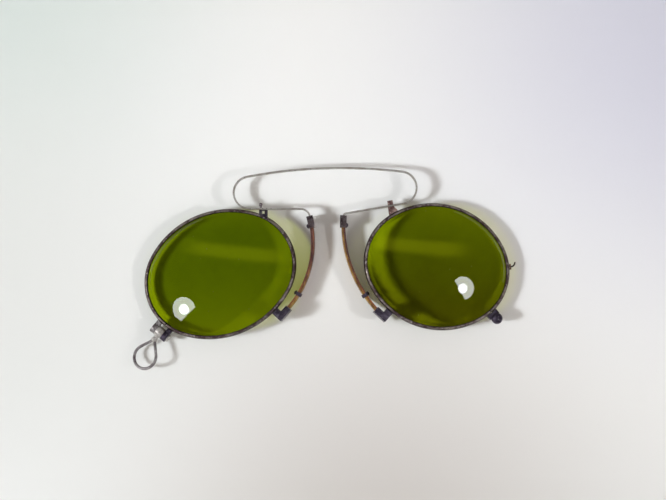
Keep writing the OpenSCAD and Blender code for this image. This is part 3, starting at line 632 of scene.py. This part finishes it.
def make_rim(s):
    gap = math.degrees(HALF_SPLIT / END_RADIUS)
    start = CLOSING_ANGLE[s] + gap
    stop = 360 + CLOSING_ANGLE[s] - gap
    meet = arc_meet(s)
    first = []
    for off, depth in wire_section():
        p = outline(s, start, off)
        first.append((p.x, p.y, depth))
    rim = ring_of(NAME[s] + "_rim_wire", first)
    ends = end_centre(s)
    sides = side_centre(s)
    sweep((ends, 0), meet - start, 40)
    sweep((0, -sides), 180 - 2 * meet, 56)
    sweep((-ends, 0), 2 * meet, 52)
    sweep((0, sides), 180 - 2 * meet, 56)
    sweep((ends, 0), stop - 360 + meet, 10)
    fill_each_end(rim)
    # The crest mark says where the finish paints the rim's highlight.
    crest_of = rim.data.attributes.new("crest_highlight", "FLOAT", "POINT")
    for corner, mark in zip(rim.data.vertices, crest_of.data):
        off = off_outline(s, corner.co)
        aside = abs(off + WIRE_WIDTH / 2) / (WIRE_WIDTH / 2)
        mark.value = max(0.0, 1 - (aside / CREST_WIDTH) ** CREST_FALL)
        corner.co = domed(s, corner.co, corner.co.z)
    finish_piece(rim, lens_frame(s), rim_steel, NAME[s] + "_half", [NAME[s] + "_rim"],
                 smooth=50)


make_rim(LEFT)
make_rim(RIGHT)

# %% [markdown]
# A lens is a piece of a hollow sphere, cut to the oval, 1.5 mm thick, with a thinner tongue
# that sits in the rim's groove. The oval starts as a circle of points. Extruding and
# shrinking it again and again fills it with rings, which curve more smoothly than a plain
# filled face could. Solidify makes two faces of it, and each point is then set to the
# thickness that belongs to its place.

# %% Lenses
LENS_POINTS = 168
TONGUE_EDGE = -0.53
TONGUE_ROWS = [-0.98, -1.02, -1.14]
TONGUE_END = -0.99
SHOULDER_END = -1.08
TONGUE_THICKNESS = 0.7
SHOULDER_THICKNESS = 1.38
LENS_RINGS = 18
LENS_THICKNESS = 1.5


def half_thickness(off):
    if off > TONGUE_END:
        return TONGUE_THICKNESS / 2
    if off > SHOULDER_END:
        return SHOULDER_THICKNESS / 2
    return LENS_THICKNESS / 2


def row_of(s, off):
    return [outline(s, 360 * i / LENS_POINTS, off) for i in range(LENS_POINTS)]


def rounded(p):
    return tuple(round(x, 4) for x in p)


def move_selected(piece, place_of):
    mesh = bmesh.from_edit_mesh(piece.data)
    for corner in mesh.verts:
        if corner.select:
            corner.co = place_of[rounded(corner.co)]
    bmesh.update_edit_mesh(piece.data)


def make_lens(s):
    last_row = row_of(s, TONGUE_EDGE)
    lens = ring_of(NAME[s] + "_lens_glass", last_row)
    for off in TONGUE_ROWS:
        next_row = row_of(s, off)
        bpy.ops.mesh.extrude_region_move()
        move_selected(lens, {rounded(old): new for old, new in zip(last_row, next_row)})
        last_row = next_row
    last = 1.0
    for share in [0.95 - 0.05 * i for i in range(LENS_RINGS)]:
        ratio = share / last
        bpy.ops.mesh.extrude_region_move()
        bpy.ops.transform.resize(value=(ratio, ratio, 1), center_override=(0, 0, 0))
        last = share
    bpy.ops.mesh.extrude_region_move()
    bpy.ops.mesh.merge(type="CENTER")
    bpy.ops.object.mode_set(mode="OBJECT")
    for corner in lens.data.vertices:
        corner.co = domed(s, corner.co, 0)
    solid = lens.modifiers.new("thickness", "SOLIDIFY")
    solid.thickness = LENS_THICKNESS
    solid.offset = 0
    bpy.ops.object.modifier_apply(modifier="thickness")
    for corner in lens.data.vertices:
        flat = Vector((corner.co.x, corner.co.y, 0))
        face = 1 if corner.co.z > domed(s, flat, 0).z else -1
        corner.co = domed(s, flat, face * half_thickness(off_outline(s, flat)))
    finish_piece(lens, lens_frame(s), GLASS[s], NAME[s] + "_half", [NAME[s] + "_lens"],
                 smooth=20)


make_lens(LEFT)
make_lens(RIGHT)

# %% [markdown]
# The spring is one steel ribbon that stands on edge: a flat bow over the nose, a loop at each
# end and an arm that comes back under the bow and turns down into the guard's cap. Its section
# is a flat rectangle whose four corners are rounded, because the edge of a rolled strip is
# never sharp.

# %% Section of the spring ribbon
RIBBON_THICKNESS = 0.45
RIBBON_WIDTH = 1.8
RIBBON_ROUNDING = 0.13


def ribbon_section():
    across = RIBBON_THICKNESS / 2 - RIBBON_ROUNDING
    deep = RIBBON_WIDTH / 2 - RIBBON_ROUNDING
    points = []
    for x, y, begin in ((across, deep, 0), (-across, deep, 90),
                        (-across, -deep, 180), (across, -deep, 270)):
        points += quarter_turn(x, y, RIBBON_ROUNDING, begin)
    return points


print("ribbon section", len(ribbon_section()), "points")

# %% [markdown]
# The ribbon carries the whole movement of the eyeglasses, so it crosses both joints of the model. Each
# half is one strip from the crown of the bow to its guard's cap, carried by no body, and the point
# where it would flex is worked out and printed.

# %% Spring ribbon
BOW_RADIUS = 130.0
BOW_TOP = 25.6
BOW_SIDE = 1.9
RIBBON_Z = 4.4
LOOP_X = {LEFT: 19.25, RIGHT: 18.7}
LOOP_RADIUS = 4.1
CORNER_Y = {LEFT: 15.35, RIGHT: 14.0}
CORNER_RADIUS = {LEFT: 2.3, RIGHT: 0.8}
GUARD_TOP = Vector((4.2, 12.9, 0))
INTO_CAP = 0.12
FLEX_X = 11.0


def make_ribbon(s):
    bow = Vector((s * BOW_SIDE, BOW_TOP - BOW_RADIUS, 0))
    bow_end = math.degrees(math.asin((LOOP_X[s] - s * BOW_SIDE) / (BOW_RADIUS - LOOP_RADIUS)))
    to_loop = Vector((math.sin(math.radians(bow_end)), math.cos(math.radians(bow_end)), 0))
    loop = bow + (BOW_RADIUS - LOOP_RADIUS) * to_loop
    corner = Vector((GUARD_TOP.x, CORNER_Y[s], 0))
    rise = loop - corner
    arm = math.degrees(math.atan2(rise.y, rise.x) - math.asin(LOOP_RADIUS / rise.length))
    cut = CORNER_RADIUS[s] * math.tan(math.radians((90 - arm) / 2))
    bend = Vector((GUARD_TOP.x + CORNER_RADIUS[s], CORNER_Y[s] - cut, 0))
    first = [(bow.x, bow.y + BOW_RADIUS + t, RIBBON_Z + w) for t, w in ribbon_section()]
    ribbon = ring_of(NAME[s] + "_spring_ribbon", first)
    sweep(bow, -bow_end, 40)
    sweep(loop, -(180 - bow_end - arm), 48)
    arm_way = Vector((math.cos(math.radians(arm)), math.sin(math.radians(arm)), 0))
    arm_from = loop + LOOP_RADIUS * Vector((arm_way.y, -arm_way.x, 0))
    arm_to = corner + cut * arm_way
    for step in range(6):
        run_on((arm_to - arm_from) / 6)
    sweep(bend, 90 - arm, 14)
    run_on((0, GUARD_TOP.y + INTO_CAP - bend.y, 0))
    fill_each_end(ribbon)
    finish_piece(ribbon, half_frame(s), spring_steel, None, [NAME[s] + "_spring_leaf"],
                 smooth=50)
    flex = math.asin((FLEX_X - s * BOW_SIDE) / BOW_RADIUS)
    hinge = half_frame(s) @ (bow + BOW_RADIUS * Vector((math.sin(flex), math.cos(flex), 0)))
    hinge.z = RIBBON_Z * MM
    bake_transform(ribbon)
    print("arm slopes", round(arm, 2), "degrees; hinge", [round(x / MM, 2) for x in hinge])
    return ribbon


left_ribbon = make_ribbon(LEFT)
make_ribbon(RIGHT)
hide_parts("left_spring_leaf", "spring_bow")

# %% [markdown]
# Each guard is a curved strip that stands on edge beside the nose. Its arc runs from the
# spring's end down to the foot block on the rim. The foot block's place is known in the
# lens's frame and the spring's end in that of the half, so the first is brought into the
# second, and the arc's centre follows from the two ends and the radius.

# %% Arc of a guard
GUARD_RADIUS = {LEFT: 25.0, RIGHT: 32.0}
FOOT_ANGLE = {LEFT: -116.0, RIGHT: -117.5}
FOOT_DISTANCE = 2.0
FOOT_LENGTH = 3.8
FOOT_SIDE_DISTANCE = 0.25
FOOT_GRIP = 0.7


def guard_arc(s):
    along = FOOT_SIDE_DISTANCE + FOOT_LENGTH / 2 - FOOT_GRIP
    angle = math.radians(FOOT_ANGLE[s])
    along_rim = Vector((math.sin(angle), -math.cos(angle), 0))
    place = outline(s, FOOT_ANGLE[s], FOOT_DISTANCE) + along * along_rim
    place.z = domed(s, outline(s, FOOT_ANGLE[s], 0), 0).z
    end = half_frame(s).inverted() @ lens_frame(s) @ place
    end.z = 0
    top = GUARD_TOP.copy()
    chord = end - top
    way = chord.normalized()
    sink = math.sqrt(GUARD_RADIUS[s] ** 2 - (chord.length / 2) ** 2)
    centre = (top + end) / 2 + sink * Vector((-way.y, way.x, 0))
    begin = math.degrees(math.atan2(top.y - centre.y, top.x - centre.x)) % 360
    stop = math.degrees(math.atan2(end.y - centre.y, end.x - centre.x)) % 360
    return centre, begin, stop


for s in (LEFT, RIGHT):
    print(NAME[s], "guard turns through", round(guard_arc(s)[2] - guard_arc(s)[1], 1), "degrees")

# %% [markdown]
# A guard has a lacquered band and a facing of shell on the nose side, crowned like a worn
# pad. Both are swept about the guard's own centre. The lower end is narrower, because its
# back edge rises, so the points are moved up in proportion, which keeps the rounded edges
# whole.

# %% Guards
GUARD_DEPTH = 4.4
END_HEIGHT = 2.4
FLAT_SHARE = 0.74
BAND_THICKNESS = 0.4
PAD_THICKNESS = 0.65
PAD_CROWN = 0.12
BAND_EDGE = 0.12
PAD_EDGE = 0.14
FACE_STEPS = 12
SEAT = 0.02


def strip_section(back, front, crown, edge):
    points = []
    half = GUARD_DEPTH / 2
    edge_front = front - crown - edge
    for step in range(FACE_STEPS + 1):
        share = step / FACE_STEPS
        z = -half + edge + share * (2 * half - 2 * edge)
        bulge = crown * (1 - (2 * share - 1) ** 2)
        points.append((front - crown + bulge, z + half))
    points += quarter_turn(edge_front, GUARD_DEPTH - edge, edge, 0)[1:]
    points += quarter_turn(back + edge, GUARD_DEPTH - edge, edge, 90)
    points += quarter_turn(back + edge, edge, edge, 180)
    points += quarter_turn(edge_front, edge, edge, 270)[:-1]
    return points


def make_strip(s, kind, back, front, crown, edge, material):
    centre, begin, stop = guard_arc(s)
    start = math.radians(begin)
    first = []
    for off, z in strip_section(back, front, crown, edge):
        reach = GUARD_RADIUS[s] + off
        first.append((centre.x + reach * math.cos(start), centre.y + reach * math.sin(start), z))
    strip = ring_of(NAME[s] + "_" + kind + "_strip", first)
    sweep(centre, stop - begin, 72)
    fill_each_end(strip)
    rise_from = begin + FLAT_SHARE * (stop - begin)
    for corner in strip.data.vertices:
        angle = math.degrees(math.atan2(corner.co.y - centre.y, corner.co.x - centre.x)) % 360
        share = max(0.0, (angle - rise_from) / (stop - rise_from))
        lift = END_HEIGHT * share
        corner.co.z = lift + corner.co.z / GUARD_DEPTH * (GUARD_DEPTH - lift)
    finish_piece(strip, half_frame(s), material, NAME[s] + "_half", [NAME[s] + "_guard_" + kind],
                 smooth=45)


band_back = -(BAND_THICKNESS + PAD_THICKNESS) / 2
band_front = band_back + BAND_THICKNESS
pad_front = band_front + PAD_THICKNESS
for s in (LEFT, RIGHT):
    make_strip(s, "band", band_back, band_front, 0.0, BAND_EDGE, guard_band)
    make_strip(s, "pad", band_front + SEAT, pad_front, PAD_CROWN, PAD_EDGE, shell_facing)

# %% [markdown]
# The small fittings are filed and soldered steel: studs, caps, clips, foot blocks, knuckles,
# lugs, pins and screws. Their shapes come from the construction model, whose mesh is loose
# triangles. A copy of it is merged, its flat faces are joined, and a small bevel rounds the
# edges as years of handling do. Without such a bevel the edges catch no light at all.

# %% Helper for the small fittings
MERGE_DISTANCE = 0.0008
FLAT_ANGLE = 0.8
EDGE_ANGLE = 32


def softened(node, material, width):
    nothing_selected()
    piece = bpy.data.objects.new(node + "_fitting", frame["nodes"][node].data.copy())
    bpy.context.scene.collection.objects.link(piece)
    piece.data.transform(Matrix.Scale(1 / MM, 4))
    piece.select_set(True)
    bpy.context.view_layer.objects.active = piece
    bpy.ops.object.mode_set(mode="EDIT")
    bpy.ops.mesh.select_all(action="SELECT")
    bpy.ops.mesh.remove_doubles(threshold=MERGE_DISTANCE)
    bpy.ops.mesh.dissolve_limited(angle_limit=math.radians(FLAT_ANGLE))
    bpy.ops.object.mode_set(mode="OBJECT")
    if width:
        edge = piece.modifiers.new("worn_edges", "BEVEL")
        edge.width = width
        edge.segments = 2
        edge.limit_method = "ANGLE"
        edge.angle_limit = math.radians(EDGE_ANGLE)
        edge.use_clamp_overlap = True
        bpy.ops.object.modifier_apply(modifier="worn_edges")
    body = frame["nodes"][node]["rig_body"]
    finish_piece(piece, Matrix.Scale(MM, 4), material, body, [node], smooth=35)


# %% [markdown]
# Each row below is a node, its finish, the name of the record's slot for it, which nothing here reads,
# and the width of its bevel in millimetres. Filed blocks get wide bevels, screws and rivets narrow
# ones. The bail and the catch are round wire and have no edge to soften.

# %% Small fittings
fittings = [
    ("left_spring_stud", dark_steel, "rim_steel", 0.10),
    ("left_stud_pin", bail_steel, "bright_steel", 0.05),
    ("right_spring_stud", bronze_solder, "bronze_solder", 0.16),
    ("right_stud_screw", bronze_solder, "bronze_solder", 0.16),
    ("left_guard_cap", cap_steel, "dark_steel", 0.10),
    ("right_guard_cap", cap_steel, "dark_steel", 0.10),
    ("left_pad_clip", dark_steel, "dark_steel", 0.07),
    ("right_pad_clip", dark_steel, "dark_steel", 0.07),
    ("left_pad_rivets", dark_steel, "dark_steel", 0.04),
    ("right_pad_rivets", dark_steel, "dark_steel", 0.04),
    ("left_foot_block", dark_steel, "dark_steel", 0.16),
    ("right_foot_block", dark_steel, "dark_steel", 0.16),
    ("left_foot_gusset", dark_steel, "dark_steel", 0.12),
    ("right_foot_gusset", dark_steel, "dark_steel", 0.12),
    ("left_closing_knuckle_upper", bail_steel, "dark_steel", 0.10),
    ("left_closing_knuckle_lower", dark_steel, "dark_steel", 0.10),
    ("left_closing_screw", bright_steel, "bright_steel", 0.05),
    ("bail_knuckle", bright_steel, "bright_steel", 0.08),
    ("bail_loop", bail_steel, "bail_steel", 0.0),
    ("right_closing_lug_front", dark_steel, "dark_steel", 0.12),
    ("right_closing_lug_back", dark_steel, "dark_steel", 0.12),
    ("right_closing_screw", dark_steel, "dark_steel", 0.06),
    ("catch_base", bronze_solder, "bronze_solder", 0.10),
    ("catch_hook", dark_steel, "dark_steel", 0.0),
]
for node, material, slot, width in fittings:
    softened(node, material, width)

# %% [markdown]
# The table is a plain pale sheet. Light from a window never falls on it evenly, so its colour drifts
# over some ten centimetres: greener at the upper left, bluer at the upper right, browner below the
# object, and a little darker at the left. Each drift is full within one radius of its centre and gone
# at another, in millimetres. A faint grain keeps the sheet from looking like a flat fill.

# %% Table
nothing_selected()
bpy.ops.mesh.primitive_plane_add(size=4, location=(0, 0, 0))
table = bpy.context.object
table.name = "table"
table_finish, table_tree, table_shader = new_finish("table_paper")
table_place = add(table_tree, "ShaderNodeTexCoord").outputs["Object"]


def drift(centre, inner, outer, strength):
    middle = Vector((*centre, 0)) * MM
    apart = add(table_tree, "ShaderNodeVectorMath", {1: middle}, operation="DISTANCE")
    join(table_tree, table_place, apart.inputs[0])
    return progress(table_tree, apart.outputs["Value"], outer * MM, inner * MM, strength, eased=True)


paper = (0.87, 0.885, 0.895)
for mask, colour in [
        (drift((-90, 76), 10, 90, 0.75), (0.62, 0.71, 0.69)),
        (drift((100, 62), 10, 110, 0.75), (0.60, 0.61, 0.76)),
        (drift((14, -70), 0, 100, 0.66), (0.47, 0.43, 0.405)),
        (drift((-92, -5), 10, 85, 0.7), (0.70, 0.72, 0.715))]:
    paper = blend_colours(table_tree, mask, paper, colour)
join(table_tree, paper, table_shader.inputs["Base Color"])
paper_grain = relief(table_tree, noise(table_tree, table_place, 1500, 4), 0.08, 0.0001)
join(table_tree, paper_grain, table_shader.inputs["Normal"])
table_shader.inputs["Roughness"].default_value = 0.9
table_shader.inputs["Specular IOR Level"].default_value = 0.1
table.data.materials.append(table_finish)
print("table paper has", len(table_tree.nodes), "nodes")

# %% [markdown]
# One soft round lamp from the left draws the shadows that the photograph has, and a weaker
# one from the right fills them. The size of a lamp sets how soft its shadows are, and its
# beam is narrowed so that the light stays near the object. Both are hidden from the rays
# that glass and metal send out, because what those mirror is made apart, in the next cells.

# %% Lamps
LAMP_DISTANCE = 0.9


def lamp(name, azimuth, elevation, power, size, spread, colour, aim):
    light = bpy.data.lights.new(name, "AREA")
    light.shape = "DISK"
    light.size = size
    light.energy = power
    light.spread = math.radians(spread)
    light.color = colour
    holder = bpy.data.objects.new(name, light)
    bpy.context.scene.collection.objects.link(holder)
    a = math.radians(azimuth)
    e = math.radians(elevation)
    way = Vector((math.cos(a) * math.cos(e), math.sin(a) * math.cos(e), math.sin(e)))
    holder.location = way * LAMP_DISTANCE
    line = Vector(aim) * MM - holder.location
    holder.rotation_euler = line.to_track_quat("-Z", "Y").to_euler()
    holder.visible_glossy = False
    holder.visible_transmission = False
    print(name, "stands", round(holder.location.z, 2), "m above the table")


lamp("window_lamp", azimuth=190, elevation=40.5, power=1.72, size=0.153, spread=100,
     colour=(0.95, 0.99, 1.0), aim=(-35, 0, 0))
lamp("fill_lamp", azimuth=-12, elevation=42, power=0.036, size=0.18, spread=20,
     colour=(1.0, 0.97, 0.94), aim=(65, 0, 0))

# %% [markdown]
# Polished glass mirrors the room sharply. It sees a dark room, which keeps its green deep,
# with one soft yellow-green band across the far side. The band is where a direction's Y lies
# between two values, leaning a little with X, and it fades out at both ends.

# %% Room that the glass mirrors
DARK_ROOM = (0.02, 0.02, 0.018)
BAND_LIGHT = (1.7, 1.8, 0.05)
world = bpy.data.worlds.new("soft_room")
bpy.context.scene.world = world
world.use_nodes = True
room = world.node_tree
room.nodes.clear()
room_way = add(room, "ShaderNodeTexCoord").outputs["Generated"]
room_split = add(room, "ShaderNodeSeparateXYZ")
join(room, room_way, room_split.inputs[0])


def between(value, low, high, blur):
    rising = progress(room, value, low - blur, low + blur, eased=True)
    falling = progress(room, value, high + blur, high - blur, eased=True)
    return combine(room, "MULTIPLY", rising, falling)


leaning = scaled(room, room_split.outputs["X"], 0.11, room_split.outputs["Y"])
across_room = between(room_split.outputs["X"], -0.45, 0.40, 0.16)
band_shape = combine(room, "MULTIPLY", between(leaning, 0.22, 0.34, 0.035), across_room)
band_strength = combine(room, "MULTIPLY", band_shape, 0.6, True)
glass_view = add(room, "ShaderNodeBackground", {"Strength": 1})
join(room, blend_colours(room, band_strength, DARK_ROOM, BAND_LIGHT), glass_view.inputs["Color"])
print("glass sees", world.name)

# %% [markdown]
# Worn metal blurs what it mirrors. In a dark room it would turn black, so its rays see a
# mid-grey room with two soft bright patches, one near each lamp. A patch is where a ray's
# direction comes close to a chosen one, which the dot product of the two measures.

# %% Room that the metal mirrors
def patch(direction, inner, outer, strength):
    near = add(room, "ShaderNodeVectorMath", operation="DOT_PRODUCT")
    join(room, room_way, near.inputs[0])
    near.inputs[1].default_value = Vector(direction).normalized()
    edge = math.cos(math.radians(outer))
    heart = math.cos(math.radians(inner))
    return progress(room, near.outputs["Value"], edge, heart, strength, eased=True)


left_patch = patch((-0.72, -0.13, 0.68), inner=8, outer=20, strength=3.5)
right_patch = patch((0.45, -0.15, 0.88), inner=5, outer=14, strength=2.0)
two_patches = combine(room, "ADD", left_patch, right_patch)
metal_view = add(room, "ShaderNodeBackground", {"Color": (0.98, 0.985, 1, 1)})
join(room, combine(room, "ADD", two_patches, 0.40), metal_view.inputs["Strength"])
print("metal sees", len([item for item in room.nodes if item.type == "VECT_MATH"]), "patches")

# %% [markdown]
# Light Path tells the kinds of ray apart. Mirror-like rays see the dark room, other glossy
# rays the grey one, and camera rays a pale backdrop. All other rays see an even, slightly
# warm light, which fills the shadows on the table and the hidden sides of the object.

# %% Which rays see what
room_ray = add(room, "ShaderNodeLightPath")
ambient = add(room, "ShaderNodeBackground", {"Color": (1.0, 0.92, 0.84, 1), "Strength": 0.44})
backdrop = add(room, "ShaderNodeBackground", {"Color": (0.86, 0.86, 0.85, 1), "Strength": 1})
is_ray = room_ray.outputs
mirrored = swapped(room, is_ray["Is Singular Ray"], metal_view.outputs[0], glass_view.outputs[0])
gathered = swapped(room, is_ray["Is Glossy Ray"], ambient.outputs[0], mirrored)
seen = swapped(room, is_ray["Is Camera Ray"], gathered, backdrop.outputs[0])
join(room, seen, add(room, "ShaderNodeOutputWorld").inputs["Surface"])
print("world has", len(room.nodes), "nodes")

# %% [markdown]
# Each lens mirrors one bright round pane, and only the one on its own side, so the panes are
# near. They are discs that only mirror-like rays see: a round one for the lamp itself, and
# behind it a wider and dimmer one, with one side cut off straight. A pane's spot is where
# its highlight lies on the lens, in millimetres, and its way is the line of sight as the
# lens mirrors it there.

# %% Panes that the lenses mirror
PANE_LIGHT = (0.98, 1, 0.97, 1)


def lit_pane(name, spot, way, distance, radius, strength, cut_way=None, cut_at=0):
    nothing_selected()
    way = Vector(way).normalized()
    centre = (Vector(spot) + way * distance) * MM
    bpy.ops.mesh.primitive_circle_add(vertices=96, radius=radius * MM, fill_type="NGON")
    pane = bpy.context.object
    pane.name = name
    pane.data.transform(Matrix.Translation(centre) @ way.to_track_quat("Z", "Y").to_matrix().to_4x4())
    if cut_way:
        cut = Vector(cut_way).normalized()
        bpy.ops.object.mode_set(mode="EDIT")
        bpy.ops.mesh.select_all(action="SELECT")
        bpy.ops.mesh.bisect(plane_co=centre + cut * cut_at * MM, plane_no=cut, clear_outer=True)
        bpy.ops.object.mode_set(mode="OBJECT")
    shine, tree, shader = new_finish(name)
    tree.nodes.remove(shader)
    glow = add(tree, "ShaderNodeEmission", {"Color": PANE_LIGHT})
    ray = add(tree, "ShaderNodeLightPath").outputs["Is Singular Ray"]
    join(tree, combine(tree, "MULTIPLY", ray, strength), glow.inputs["Strength"])
    join(tree, glow.outputs[0], tree.nodes["Material Output"].inputs["Surface"])
    shine.cycles.emission_sampling = "NONE"
    pane.data.materials.append(shine)
    pane.visible_camera = False
    pane.visible_diffuse = False
    pane.visible_transmission = False
    pane.visible_shadow = False


LEFT_SPOT = (-35.1, -10.4, 5)
LEFT_WAY = (-0.514, -0.229, 0.827)
RIGHT_SPOT = (34.9, -5.4, 5)
RIGHT_WAY = (0.4125, -0.122, 0.903)
lit_pane("left_lamp_pane", LEFT_SPOT, LEFT_WAY, distance=166, radius=9.4, strength=30)
lit_pane("left_window_pane", LEFT_SPOT, LEFT_WAY, distance=170, radius=22.2, strength=11,
         cut_way=(1, -1.04, 0), cut_at=11.3)
lit_pane("right_lamp_pane", RIGHT_SPOT, RIGHT_WAY, distance=166, radius=8.8, strength=28)
lit_pane("right_window_pane", RIGHT_SPOT, RIGHT_WAY, distance=170, radius=21.4, strength=11,
         cut_way=(-1, -0.5, 0), cut_at=6.0)

# %% Hand over
bpy.ops.object.select_all(action="DESELECT")
bpy.context.view_layer.update()
